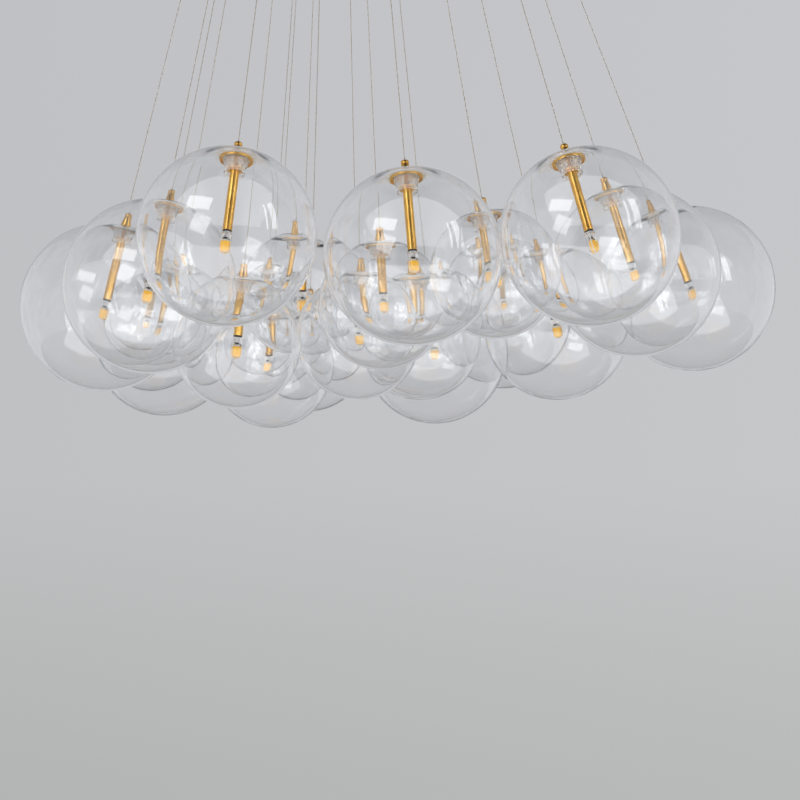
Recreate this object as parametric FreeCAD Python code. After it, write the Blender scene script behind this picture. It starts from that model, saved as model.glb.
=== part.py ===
import FreeCAD, Part
import math
import os

# Cluster pendant: 21 clear glass globes, each on its own thin cable, fanned out from one
# round ceiling canopy. Millimetres, +Z up. The origin is the centre of the ceiling face.
# A drop is built standing upright about its globe's centre, then leaned onto its cable line.

# ---- globes ----
GLOBE_R = {"large": 100.0, "medium": 90.0, "small": 75.0}
GLASS = 2.0
MOUTH_R = 20.6

# ---- fittings on a drop, top to bottom ----
CABLE_R = 0.6
CAP_TOP_R, CAP_BOTTOM_R = 3.75, 6.7
CAP_ABOVE_GLOBE = 16.0
CAP_BORE_DEPTH = 8.0
CORE_R, CORE_BORE_R = 2.5, 1.0
DISC_R, DISC_T = 19.0, 1.5
GASKET_T = 1.6                 # the clear gasket's thickness above the disc
GASKET_FLANGE_R = 22.4         # its flange grips the glass from inside the mouth
COLLAR_TOP_R, COLLAR_END_R, COLLAR_H = 13.0, 11.5, 16.0
COLLAR_RIBS, RIB_DEPTH = 8, 1.0
RIM_R, RIM_T = 13.5, 1.5
LOWER_DISC_R = 10.0
TUBE_R, TUBE_WALL = 5.25, 0.75
TUBE_END = {"large": 6.0, "medium": 13.0, "small": 10.0}   # height above the globe's centre
HOLDER_RING_T, HOLDER_H = 2.0, 14.0

# ---- two-pin bulb ----
BULB_R, BULB_H = 6.0, 25.0
PIN_R, PIN_SPACING, PIN_H = 0.35, 4.0, 8.0
LIGHT_W, LIGHT_T, LIGHT_H = 8.4, 4.4, 12.0
CHIP_W, CHIP_T, CHIP_H = 5.0, 2.4, 4.0
BULB_PULL_GAP = 0.3            # air between the bulb's shoulder and the holder's ring

# ---- canopy ----
CANOPY_R, CANOPY_H, CANOPY_WALL = 235.0, 40.0, 1.5
CANOPY_TOP = -1.0              # the rim stays a hair off the ceiling
CANOPY_FLOOR = -CANOPY_H
GRIP_H, GRIP_TOP_R, GRIP_END_R, GRIP_BORE_R = 16.0, 8.0, 4.5, 1.0
GRIP_THREAD_R, GRIP_THREAD_H = 5.0, 6.0
NUT_R, NUT_T = 9.0, 3.5
FLARE_R, FLARE_H = 3.0, 2.0
PIVOT_BELOW_GRIP = 1.0
PIVOT_Z = CANOPY_FLOOR - GRIP_H - PIVOT_BELOW_GRIP
FAN_APEX_Z = 355.0             # all cable lines meet here, above the ceiling

# ---- ceiling bracket ----
BRACKET_W, BRACKET_T = 40.0, 2.5
BRACKET_HALF = CANOPY_R - CANOPY_WALL - 1.0
SLOT_SPACING, SLOT_R, SLOT_LENGTH = 120.0, 2.75, 12.0
CENTRE_HOLE_R = 12.0
TAB_H = 22.0
SCREW_R, SCREW_HEAD_R, SCREW_HEAD_T, SCREW_LENGTH = 2.0, 5.0, 5.0, 9.0
SCREW_Z = -14.0

# ---- what the canopy holds ----
DRIVER_X, DRIVER_L, DRIVER_W, DRIVER_H = -152.0, 150.0, 52.0, 24.0
TERMINAL_L, TERMINAL_W, TERMINAL_H, TERMINAL_OFFSET = 30.0, 18.0, 14.0, 6.0
WELL_R, WELL_DEPTH, WELL_SPACING = 2.2, 4.0, 9.0
HUB_X, HUB_Y, HUB_R, HUB_H = -62.0, 0.0, 15.0, 26.0
LEAD_R = 0.5
LEAD_TOP, LEAD_STEP = -10.0, 1.1
LEAD_BEND = 3.0

# The drops: number, globe size, and the globe's centre (x, y, z).
# x runs to the right and y away from the viewer.
DROPS = [
    (1, "large", (90, -415, -720)),
    (2, "large", (-115, -465, -700)),
    (3, "large", (285, -465, -700)),
    (4, "large", (-210, -285, -750)),
    (5, "large", (-275, -80, -770)),
    (6, "large", (350, -170, -730)),
    (7, "large", (430, 35, -745)),
    (8, "medium", (-225, 330, -810)),
    (9, "medium", (270, 165, -790)),
    (10, "medium", (210, 445, -775)),
    (11, "medium", (120, 290, -820)),
    (12, "small", (185, -240, -735)),
    (13, "small", (55, -165, -770)),
    (14, "small", (-115, -145, -815)),
    (15, "small", (25, -15, -805)),
    (16, "small", (-45, 115, -755)),
    (17, "small", (100, 120, -805)),
    (18, "small", (-85, 240, -840)),
    (19, "small", (-95, 440, -795)),
    (20, "small", (-255, 500, -800)),
    (21, "small", (-45, 585, -820)),
]
ITEMISED = 1                   # this drop has a node for every piece

V = FreeCAD.Vector
UP = V(0, 0, 1)


def cylinder(r, bottom, top, at=(0, 0)):
    return Part.makeCylinder(r, top - bottom, V(at[0], at[1], bottom))


def tube(r_out, r_in, bottom, top, at=(0, 0)):
    return cylinder(r_out, bottom, top, at).cut(cylinder(r_in, bottom, top, at))


def turned(profile):
    """Revolve a closed (radius, height) outline about the Z axis."""
    points = [V(r, 0, z) for r, z in profile]
    face = Part.Face(Part.makePolygon(points + points[:1]))
    return face.revolve(V(0, 0, 0), UP, 360)


def box(size, centre):
    lx, ly, lz = size
    corner = V(centre[0] - lx / 2, centre[1] - ly / 2, centre[2] - lz / 2)
    return Part.makeBox(lx, ly, lz, corner)


# ---------------------------------------------------------------- one drop, upright

def mouth_height(globe_r):
    """Height at which the mouth's edge meets the inside of the glass."""
    return math.sqrt((globe_r - GLASS) ** 2 - MOUTH_R ** 2)


def globe(globe_r):
    glass = Part.makeSphere(globe_r).cut(Part.makeSphere(globe_r - GLASS))
    return glass.cut(cylinder(MOUTH_R, globe_r / 2, globe_r + 1))


def cable(globe_r, length):
    """From inside the cap up to the pivot, where it ends in a round tip."""
    start = globe_r + CAP_ABOVE_GLOBE - CAP_BORE_DEPTH
    return cylinder(CABLE_R, start, length).fuse(Part.makeSphere(CABLE_R, V(0, 0, length)))


def cap_base(globe_r):
    return mouth_height(globe_r) + GASKET_T


def cap(globe_r):
    base = cap_base(globe_r)
    top = globe_r + CAP_ABOVE_GLOBE
    cone = Part.makeCone(CAP_BOTTOM_R, CAP_TOP_R, top - base, V(0, 0, base))
    cone = cone.cut(cylinder(CORE_R, base, base + CAP_BORE_DEPTH))
    return cone.cut(cylinder(CABLE_R, top - CAP_BORE_DEPTH, top))


def core(globe_r):
    top = cap_base(globe_r) + CAP_BORE_DEPTH
    return tube(CORE_R, CORE_BORE_R, lower_disc_bottom(globe_r) - 6.0, top)


def closing_disc(globe_r):
    top = mouth_height(globe_r)
    return tube(DISC_R, CORE_R, top - DISC_T, top)


def gasket(globe_r):
    """Clear rubber cup that holds the disc's edge. It fills the mouth, and its flange
    carries the glass from inside."""
    top = mouth_height(globe_r)
    flange_top = math.sqrt((globe_r - GLASS) ** 2 - GASKET_FLANGE_R ** 2)
    return turned([(CORE_R, top), (DISC_R, top), (DISC_R, top - DISC_T),
                   (GASKET_FLANGE_R, top - DISC_T), (GASKET_FLANGE_R, flange_top),
                   (MOUTH_R, top), (MOUTH_R, top + GASKET_T), (CORE_R, top + GASKET_T)])


def collar(globe_r):
    """Clear collar whose ribs taper down to a wider rim."""
    top = mouth_height(globe_r) - DISC_T
    pitch = COLLAR_H / COLLAR_RIBS
    outline = [(CORE_R, top)]
    for i in range(COLLAR_RIBS):
        r = COLLAR_TOP_R + (COLLAR_END_R - COLLAR_TOP_R) * i / (COLLAR_RIBS - 1)
        z = top - i * pitch
        outline += [(r, z), (r, z - 0.6 * pitch), (r - RIB_DEPTH, z - 0.7 * pitch),
                    (r - RIB_DEPTH, z - pitch)]
    rim_top = top - COLLAR_H
    outline += [(RIM_R, rim_top), (RIM_R, rim_top - RIM_T), (CORE_R, rim_top - RIM_T)]
    return turned(outline)


def lower_disc_bottom(globe_r):
    return mouth_height(globe_r) - DISC_T - COLLAR_H - RIM_T - DISC_T


def lower_disc(globe_r):
    bottom = lower_disc_bottom(globe_r)
    return tube(LOWER_DISC_R, CORE_R, bottom, bottom + DISC_T)


def lamp_tube(globe_r, tube_end):
    top = lower_disc_bottom(globe_r)
    shell = tube(TUBE_R, TUBE_R - TUBE_WALL, tube_end, top)
    end_plug = tube(TUBE_R - TUBE_WALL, CORE_R, top - 6.0, top)
    return shell.fuse(end_plug)


def lamp_holder(tube_end):
    ring = cylinder(TUBE_R, tube_end - HOLDER_RING_T, tube_end)
    body = cylinder(TUBE_R - TUBE_WALL, tube_end, tube_end + HOLDER_H)
    holder = ring.fuse(body)
    for side in (-1, 1):
        pin_hole = cylinder(PIN_R + 0.3, tube_end - HOLDER_RING_T,
                            tube_end + PIN_H + 1.0, (side * PIN_SPACING / 2, 0))
        holder = holder.cut(pin_hole)
    return holder.removeSplitter()


def bulb_top(tube_end):
    return tube_end - HOLDER_RING_T - BULB_PULL_GAP


def bulb_glass(tube_end):
    """Solid clear capsule with a domed end, cast round the works."""
    top = bulb_top(tube_end)
    dome_z = top - BULB_H + BULB_R
    glass = cylinder(BULB_R, dome_z, top).fuse(Part.makeSphere(BULB_R, V(0, 0, dome_z)))
    light, chip, *pins = bulb_works(tube_end)
    return glass.cut(light.fuse([chip] + pins))


def bulb_works(tube_end):
    """Light block, driver chip and the two pins, as separate solids."""
    top = bulb_top(tube_end)
    light_top = top - 10.5
    light = box((LIGHT_W, LIGHT_T, LIGHT_H), (0, 0, light_top - LIGHT_H / 2))
    light = light.makeFillet(1.0, light.Edges)
    chip = box((CHIP_W, CHIP_T, CHIP_H), (0, 0, light_top + CHIP_H / 2))
    pins = [cylinder(PIN_R, light_top + CHIP_H, top + PIN_H,
                     (side * PIN_SPACING / 2, 0)) for side in (-1, 1)]
    return [light, chip] + pins


# ---------------------------------------------------------------- placing the drops

def pivot(centre):
    """Where a drop's cable line crosses the level of the cable grips' mouths."""
    share = (FAN_APEX_Z - PIVOT_Z) / (FAN_APEX_Z - centre[2])
    return V(centre[0] * share, centre[1] * share, PIVOT_Z)


def lean(shape, centre):
    """Turn an upright piece onto its cable line and carry it to its place."""
    line = pivot(centre) - V(*centre)
    moved = shape.copy()
    moved.Placement = FreeCAD.Placement(V(*centre), FreeCAD.Rotation(UP, line))
    return moved


def hanger_pieces(globe_r, tube_end, length):
    """Everything on a drop apart from its globe, from the cable down to the bulb."""
    return {
        "cable": [cable(globe_r, length)],
        "cap": [cap(globe_r)],
        "core": [core(globe_r)],
        "gasket": [gasket(globe_r)],
        "closing_disc": [closing_disc(globe_r)],
        "collar": [collar(globe_r)],
        "lower_disc": [lower_disc(globe_r)],
        "lamp_tube": [lamp_tube(globe_r, tube_end)],
        "lamp_holder": [lamp_holder(tube_end)],
        "bulb_glass": [bulb_glass(tube_end)],
        "bulb_works": bulb_works(tube_end),
    }


def write(name, solids):
    shape = solids[0] if len(solids) == 1 else Part.makeCompound(solids)
    shape.exportStep(f"parts/{name}.step")


def drop(number, size, centre):
    globe_r = GLOBE_R[size]
    length = (pivot(centre) - V(*centre)).Length
    pieces = hanger_pieces(globe_r, TUBE_END[size], length)
    write(f"globe_{number:02d}", [lean(globe(globe_r), centre)])
    if number == ITEMISED:
        for name, solids in pieces.items():
            write(f"{name}_{number:02d}", [lean(s, centre) for s in solids])
    else:
        solids = [s for group in pieces.values() for s in group]
        write(f"hanger_{number:02d}", [lean(s, centre) for s in solids])
    cable_length = length - globe_r - CAP_ABOVE_GLOBE
    print(f"drop {number:02d} {size}: {cable_length:.0f} mm of cable shows")


# ---------------------------------------------------------------- canopy

def canopy_pan():
    outside = cylinder(CANOPY_R, CANOPY_FLOOR, CANOPY_TOP)
    lower_edges = [e for e in outside.Edges if abs(e.CenterOfMass.z - CANOPY_FLOOR) < 0.1]
    outside = outside.makeFillet(6.0, [e for e in lower_edges if e.Length > CANOPY_R])
    inside = cylinder(CANOPY_R - CANOPY_WALL, CANOPY_FLOOR + CANOPY_WALL, CANOPY_TOP)
    lower_edges = [e for e in inside.Edges
                   if abs(e.CenterOfMass.z - CANOPY_FLOOR - CANOPY_WALL) < 0.1]
    inside = inside.makeFillet(4.5, [e for e in lower_edges if e.Length > CANOPY_R])
    pan = outside.cut(inside)
    holes = [cylinder(GRIP_THREAD_R, CANOPY_FLOOR - 1, CANOPY_FLOOR + CANOPY_WALL + 1,
                      (p.x, p.y)) for p in pivots()]
    side_holes = [side_screw_bore(side, SCREW_R + 0.25) for side in (-1, 1)]
    return pan.cut(Part.makeCompound(holes + side_holes))


def side_screw_bore(side, r):
    start = V(side * (BRACKET_HALF - 8.0), 0, SCREW_Z)
    return Part.makeCylinder(r, 20.0, start, V(side, 0, 0))


def ceiling_bracket():
    plate = box((2 * BRACKET_HALF, BRACKET_W, BRACKET_T), (0, 0, -BRACKET_T / 2))
    cuts = [cylinder(CENTRE_HOLE_R, -BRACKET_T - 1, 1)]
    for side in (-1, 1):
        x = side * SLOT_SPACING / 2
        half = SLOT_LENGTH / 2 - SLOT_R
        cuts.append(box((2 * half, 2 * SLOT_R, 10), (x, 0, 0)))
        cuts += [cylinder(SLOT_R, -5, 5, (x + end * half, 0)) for end in (-1, 1)]
    plate = plate.cut(Part.makeCompound(cuts[:1])).cut(cuts[1].fuse(cuts[2:4]))
    plate = plate.cut(cuts[4].fuse(cuts[5:7]))
    for side in (-1, 1):
        x = side * (BRACKET_HALF - BRACKET_T / 2)
        tab = box((BRACKET_T, BRACKET_W, TAB_H), (x, 0, -TAB_H / 2))
        plate = plate.fuse(tab).cut(side_screw_bore(side, SCREW_R))
    return plate.removeSplitter()


def canopy_screws():
    """Two knurled-head screws that hold the pan on the bracket's tabs."""
    screws = []
    for side in (-1, 1):
        shank = Part.makeCylinder(SCREW_R, SCREW_LENGTH,
                                  V(side * CANOPY_R, 0, SCREW_Z), V(-side, 0, 0))
        head = Part.makeCylinder(SCREW_HEAD_R, SCREW_HEAD_T,
                                 V(side * CANOPY_R, 0, SCREW_Z), V(side, 0, 0))
        screws.append(shank.fuse(head))
    return screws


def cable_grip(p):
    """Tapered grip under the pan, with its threaded stem, and the nut above the floor."""
    at = (p.x, p.y)
    inside_floor = CANOPY_FLOOR + CANOPY_WALL
    body = Part.makeCone(GRIP_END_R, GRIP_TOP_R, GRIP_H, V(p.x, p.y, CANOPY_FLOOR - GRIP_H))
    stem = cylinder(GRIP_THREAD_R, CANOPY_FLOOR, CANOPY_FLOOR + GRIP_THREAD_H, at)
    mouth = CANOPY_FLOOR - GRIP_H
    bore = cylinder(GRIP_BORE_R, mouth - 1, CANOPY_FLOOR + GRIP_THREAD_H + 1, at)
    flare = Part.makeCone(FLARE_R, GRIP_BORE_R, FLARE_H, V(p.x, p.y, mouth))
    grip = body.fuse(stem).cut(bore).cut(flare).removeSplitter()
    corners = [V(p.x + NUT_R * math.cos(math.radians(a)), p.y + NUT_R * math.sin(math.radians(a)),
                 inside_floor) for a in range(0, 360, 60)]
    hexagon = Part.Face(Part.makePolygon(corners + corners[:1]))
    nut = hexagon.extrude(V(0, 0, NUT_T)).cut(cylinder(GRIP_THREAD_R, inside_floor - 1,
                                                       inside_floor + NUT_T + 1, at))
    return [grip, nut]


def pivots():
    return [pivot(centre) for _, _, centre in DROPS]


def inner_lead(p, height):
    """A lead rises through its grip, bends once and runs level to the hub."""
    to_hub = V(HUB_X - p.x, HUB_Y - p.y, 0)
    away = to_hub.Length
    to_hub.normalize()
    start = V(p.x, p.y, PIVOT_Z + CABLE_R + 0.5)
    bend_start = V(p.x, p.y, height - LEAD_BEND)
    bend_end = V(p.x, p.y, height) + to_hub * LEAD_BEND
    centre = bend_start + to_hub * LEAD_BEND
    middle = centre + (V(0, 0, 1) - to_hub) * (LEAD_BEND / math.sqrt(2))
    end = V(p.x, p.y, height) + to_hub * (away - HUB_R)
    path = Part.Wire([Part.LineSegment(start, bend_start).toShape(),
                      Part.Arc(bend_start, middle, bend_end).toShape(),
                      Part.LineSegment(bend_end, end).toShape()])
    ring = Part.Wire([Part.makeCircle(LEAD_R, start, UP)])
    return path.makePipeShell([ring], True, False)


def inner_leads():
    """Drops furthest from the hub have the highest level runs, so no lead meets another."""
    hub = V(HUB_X, HUB_Y, 0)
    ordered = sorted(pivots(), key=lambda p: -(V(p.x, p.y, 0) - hub).Length)
    leads = [inner_lead(p, LEAD_TOP - i * LEAD_STEP) for i, p in enumerate(ordered)]
    for y in (-4.0, 4.0):
        start = V(DRIVER_X + DRIVER_W / 2, y, CANOPY_FLOOR + CANOPY_WALL + 4.0)
        hub_face = HUB_X - math.sqrt(HUB_R ** 2 - (abs(y) - LEAD_R) ** 2)
        reach = hub_face - start.x
        leads.append(Part.makeCylinder(LEAD_R, reach, start, V(1, 0, 0)))
    return leads


def hub():
    bottom = CANOPY_FLOOR + CANOPY_WALL
    body = cylinder(HUB_R, bottom, bottom + HUB_H + 6.0, (HUB_X, HUB_Y))
    top_edges = [e for e in body.Edges if e.CenterOfMass.z > bottom + HUB_H]
    return body.makeFillet(1.0, [e for e in top_edges if e.Length > HUB_R])


def led_driver():
    floor = CANOPY_FLOOR + CANOPY_WALL
    case = box((DRIVER_W, DRIVER_L, DRIVER_H), (DRIVER_X, 0, floor + DRIVER_H / 2))
    return case.makeFillet(2.5, [e for e in case.Edges if abs(e.tangentAt(0).z) > 0.9])


def mains_terminal():
    """Block at the driver's end, with a screw well for each of its three wires."""
    floor = CANOPY_FLOOR + CANOPY_WALL
    x, y = DRIVER_X + TERMINAL_OFFSET, DRIVER_L / 2 + TERMINAL_W / 2
    block = box((TERMINAL_L, TERMINAL_W, TERMINAL_H), (x, y, floor + TERMINAL_H / 2))
    for i in (-1, 0, 1):
        well = cylinder(WELL_R, floor + TERMINAL_H - WELL_DEPTH, floor + TERMINAL_H + 1,
                        (x + i * WELL_SPACING, y))
        block = block.cut(well)
    return block


def main():
    os.makedirs("parts", exist_ok=True)
    write("ceiling_bracket", [ceiling_bracket()])
    write("canopy_pan", [canopy_pan()])
    write("canopy_screws", canopy_screws())
    write("cable_grips", [s for p in pivots() for s in cable_grip(p)])
    write("distribution_hub", [hub()])
    write("led_driver", [led_driver()])
    write("mains_terminal", [mains_terminal()])
    write("inner_leads", inner_leads())
    for number, size, centre in DROPS:
        drop(number, size, centre)


main()
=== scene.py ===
import math

import bmesh
import bpy
from mathutils import Matrix, Vector


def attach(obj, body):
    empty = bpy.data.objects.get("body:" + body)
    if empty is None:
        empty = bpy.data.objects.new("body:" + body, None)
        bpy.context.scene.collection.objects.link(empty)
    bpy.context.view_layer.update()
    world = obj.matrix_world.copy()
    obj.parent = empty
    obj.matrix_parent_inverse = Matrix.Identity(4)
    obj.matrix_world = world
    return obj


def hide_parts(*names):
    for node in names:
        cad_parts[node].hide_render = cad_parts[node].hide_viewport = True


bl_info = {
    "name": "Cluster pendant",
    "version": (1, 0, 0),
    "blender": (4, 5, 0),
    "location": "3D View > Sidebar > Pendant",
    "description": "Clear glass globes on thin cables under one round canopy",
    "category": "Object",
}

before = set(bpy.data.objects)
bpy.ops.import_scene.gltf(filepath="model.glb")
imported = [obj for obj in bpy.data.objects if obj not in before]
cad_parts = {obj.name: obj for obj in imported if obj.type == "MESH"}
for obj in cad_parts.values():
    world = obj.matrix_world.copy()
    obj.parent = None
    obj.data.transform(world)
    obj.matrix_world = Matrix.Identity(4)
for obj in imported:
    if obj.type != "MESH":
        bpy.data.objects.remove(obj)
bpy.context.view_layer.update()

# sizes in millimetres
MM = 0.001
GLOBE_R = {"large": 100.0, "medium": 90.0, "small": 75.0}
WALL_T = 2.0
MOUTH_R = 20.6
PLAY = 0.05                    # left between pieces that sit on each other
DISC_T = 1.5
DISC_R = 19.0
GASKET_T = 1.6
GASKET_FLANGE_R = 22.4
COLLAR_H = 17.5                # with its skirt
COLLAR_RIBS = 8
LOWER_DISC_DOWN = 12.0         # from the closing disc's underside to the lower disc's top
LOWER_DISC_R = 10.0
THREAD_PITCH = 0.8
CORE_IN_CAP = 3.5
CORE_IN_TUBE = 6.0
TUBE_R = 5.25
TUBE_END = {"large": 6.0, "medium": 13.0, "small": 10.0}   # height above the globe's centre
BULB_TOP = -2.3                # the bulb's shoulder, below the tube's end
BOARD_LOW = -22.5              # the light board's lower end, from the bulb's shoulder
CAP_ABOVE_GLOBE = 16.0
CABLE_R = 0.6
CABLE_IN_CAP = 6.0
WIRE_R = 0.17
WIRE_OFFSET = 0.18             # from the cable's middle to each wire's
WIRE_TWIST = 16.0              # height of one turn, about
SCREW_X = 237.5
SCREW_Z = -14.0
PIVOT_Z = -57.0                # where each cable leaves its grip
FAN_APEX_Z = 355.0             # the point above the canopy that all cables run towards
ITEMISED = 1                   # the drop whose pieces have a node each

# places in metres
LAMP_MIDDLE = (0.08, -0.1, -0.78)
CAMERA_X, CAMERA_Z = 0.0757, -0.880
FLOOR_R, FLOOR_Z = 2.6, -1.95

# number, globe size, centre of the globe in millimetres
DROPS = [
    (1, "large", (90, -415, -720)),
    (2, "large", (-115, -465, -700)),
    (3, "large", (285, -465, -700)),
    (4, "large", (-210, -285, -750)),
    (5, "large", (-275, -80, -770)),
    (6, "large", (350, -170, -730)),
    (7, "large", (430, 35, -745)),
    (8, "medium", (-225, 330, -810)),
    (9, "medium", (270, 165, -790)),
    (10, "medium", (210, 445, -775)),
    (11, "medium", (120, 290, -820)),
    (12, "small", (185, -240, -735)),
    (13, "small", (55, -165, -770)),
    (14, "small", (-115, -145, -815)),
    (15, "small", (25, -15, -805)),
    (16, "small", (-45, 115, -755)),
    (17, "small", (100, 120, -805)),
    (18, "small", (-85, 240, -840)),
    (19, "small", (-95, 440, -795)),
    (20, "small", (-255, 500, -800)),
    (21, "small", (-45, 585, -820)),
]
# degrees that some bulbs stand turned in their holders
BULB_TURN = {1: 25, 2: -12, 3: 74, 4: 18, 5: -30, 7: 40, 8: 60, 9: -22, 11: 33, 13: -15,
             14: 20, 16: 50, 17: -35, 19: 65, 21: -20}


# ------------------------------------------------------------------ settings

class GlassSettings(bpy.types.PropertyGroup):
    wall: bpy.props.FloatProperty(
        name="Wall", description="Thickness of the blown glass", default=0.002,
        min=0.001, max=0.004, unit="LENGTH", subtype="DISTANCE")
    base_extra: bpy.props.FloatProperty(
        name="Heavier base", default=0.001,
        description="How far the inner wall sits above the outer wall's centre",
        min=0.0, max=0.0015, unit="LENGTH", subtype="DISTANCE")
    tint: bpy.props.FloatVectorProperty(
        name="Tint", description="Colour of the glass where it is looked through squarely",
        default=(0.985, 0.988, 0.992), min=0.0, max=1.0, subtype="COLOR")
    # The edge colour is partly the glass's own tint along its wall, partly painted shade: a dark
    # outline painted where the wall is seen edge on
    edge: bpy.props.FloatVectorProperty(
        name="Edge", description="Colour of the glass where it is seen along its wall",
        default=(0.84, 0.855, 0.87), min=0.0, max=1.0, subtype="COLOR")


class BrassSettings(bpy.types.PropertyGroup):
    light: bpy.props.FloatVectorProperty(
        name="Light brass", description="Colour of the polished brass",
        default=(0.72, 0.435, 0.115), min=0.0, max=1.0, subtype="COLOR")
    deep: bpy.props.FloatVectorProperty(
        name="Deep brass", description="Colour of the brass where it has toned down",
        default=(0.62, 0.33, 0.075), min=0.0, max=1.0, subtype="COLOR")
    roughness: bpy.props.FloatProperty(
        name="Roughness", description="Roughness of the polish", default=0.27, min=0.0, max=1.0)


class BulbSettings(bpy.types.PropertyGroup):
    phosphor: bpy.props.FloatVectorProperty(
        name="Phosphor", description="Colour of the light strips",
        default=(0.98, 0.52, 0.015), min=0.0, max=1.0, subtype="COLOR")
    radius: bpy.props.FloatProperty(
        name="Radius", description="Radius of the bulb's capsule", default=0.006,
        min=0.004, max=0.008, unit="LENGTH", subtype="DISTANCE")
    height: bpy.props.FloatProperty(
        name="Height", description="Height of the bulb's capsule", default=0.025,
        min=0.015, max=0.03, unit="LENGTH", subtype="DISTANCE")


class CanopySettings(bpy.types.PropertyGroup):
    brass: bpy.props.FloatVectorProperty(
        name="Spun brass", description="Colour of the canopy", default=(0.62, 0.42, 0.17),
        min=0.0, max=1.0, subtype="COLOR")
    steel: bpy.props.FloatVectorProperty(
        name="Zinc", description="Colour of the plated bracket", default=(0.55, 0.57, 0.60),
        min=0.0, max=1.0, subtype="COLOR")
    case: bpy.props.FloatVectorProperty(
        name="Case", description="Colour of the driver's case and the hub",
        default=(0.74, 0.74, 0.71), min=0.0, max=1.0, subtype="COLOR")
    jacket: bpy.props.FloatVectorProperty(
        name="Cable jacket", description="Colour of the clear cable jacket",
        default=(0.95, 0.93, 0.89), min=0.0, max=1.0, subtype="COLOR")
    wires: bpy.props.FloatVectorProperty(
        name="Wires", description="Colour of the two wires seen through the jacket",
        default=(0.56, 0.51, 0.43), min=0.0, max=1.0, subtype="COLOR")


class StageSettings(bpy.types.PropertyGroup):
    backdrop: bpy.props.FloatVectorProperty(
        name="Backdrop", description="Grey that the camera sees behind the lamp",
        default=(0.548, 0.551, 0.572), min=0.0, max=1.0, subtype="COLOR")
    floor: bpy.props.FloatVectorProperty(
        name="Floor", description="Colour of the floor", default=(0.60, 0.60, 0.60),
        min=0.0, max=1.0, subtype="COLOR")
    fill: bpy.props.FloatProperty(
        name="Fill", description="Strength of the even light from all round", default=0.62,
        min=0.0, max=2.0)
    softbox: bpy.props.FloatProperty(
        name="Softbox", description="Brightness of each softbox's face", default=3.9,
        min=0.0, max=30.0)
    lens: bpy.props.FloatProperty(
        name="Lens", description="Focal length of the camera in millimetres", default=202.5,
        min=20.0, max=400.0)
    distance: bpy.props.FloatProperty(
        name="Camera distance", description="How far the camera stands before the lamp's axis",
        default=5.41, min=1.0, max=10.0, unit="LENGTH", subtype="DISTANCE")


# ------------------------------------------------------------------ shading helpers

def new_material(name):
    mat = bpy.data.materials.new(name)
    mat.use_nodes = True
    nodes = mat.node_tree.nodes
    nodes.clear()
    out = nodes.new("ShaderNodeOutputMaterial")
    shader = nodes.new("ShaderNodeBsdfPrincipled")
    mat.node_tree.links.new(shader.outputs["BSDF"], out.inputs["Surface"])
    return mat, shader, out


def node(mat, kind, **values):
    made = mat.node_tree.nodes.new(kind)
    for key, value in values.items():
        if hasattr(made, key):
            setattr(made, key, value)
        else:
            made.inputs[key].default_value = value
    return made


def link(mat, source, target):
    mat.node_tree.links.new(source, target)


def object_vector(mat, scale=(1, 1, 1)):
    where = node(mat, "ShaderNodeTexCoord")
    mapping = node(mat, "ShaderNodeMapping")
    mapping.inputs["Scale"].default_value = scale
    link(mat, where.outputs["Object"], mapping.inputs["Vector"])
    return mapping.outputs["Vector"]


def noise(mat, vector, scale, detail):
    made = node(mat, "ShaderNodeTexNoise")
    made.inputs["Scale"].default_value = scale
    made.inputs["Detail"].default_value = detail
    link(mat, vector, made.inputs["Vector"])
    return made.outputs["Fac"]


def ramp(mat, source, stops):
    made = node(mat, "ShaderNodeValToRGB")
    elements = made.color_ramp.elements
    while len(elements) < len(stops):
        elements.new(0.5)
    for element, (place, colour) in zip(elements, stops):
        element.position = place
        element.color = (*colour, 1.0)
    link(mat, source, made.inputs["Fac"])
    return made.outputs["Color"]


def spread(mat, source, low, high, from_low=0.3, from_high=0.7):
    made = node(mat, "ShaderNodeMapRange")
    for name, value in (("From Min", from_low), ("From Max", from_high),
                        ("To Min", low), ("To Max", high)):
        made.inputs[name].default_value = value
    link(mat, source, made.inputs["Value"])
    return made.outputs["Result"]


def bump(mat, source, shader, strength, distance):
    made = node(mat, "ShaderNodeBump")
    made.inputs["Strength"].default_value = strength
    made.inputs["Distance"].default_value = distance
    link(mat, source, made.inputs["Height"])
    link(mat, made.outputs["Normal"], shader.inputs["Normal"])


def brighter(owner, first, second):
    made = node(owner, "ShaderNodeMath", operation="MAXIMUM")
    link(owner, first, made.inputs[0])
    link(owner, second, made.inputs[1])
    return made.outputs["Value"]


def let_lamps_through(mat, shader, out, tint):
    """Lamps shine on what stands inside or behind the clear material."""
    rays = node(mat, "ShaderNodeLightPath")
    clear = node(mat, "ShaderNodeBsdfTransparent")
    clear.inputs["Color"].default_value = (*tint, 1.0)
    mix = node(mat, "ShaderNodeMixShader")
    link(mat, rays.outputs["Is Shadow Ray"], mix.inputs["Fac"])
    link(mat, shader.outputs["BSDF"], mix.inputs[1])
    link(mat, clear.outputs["BSDF"], mix.inputs[2])
    link(mat, mix.outputs["Shader"], out.inputs["Surface"])


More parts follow.
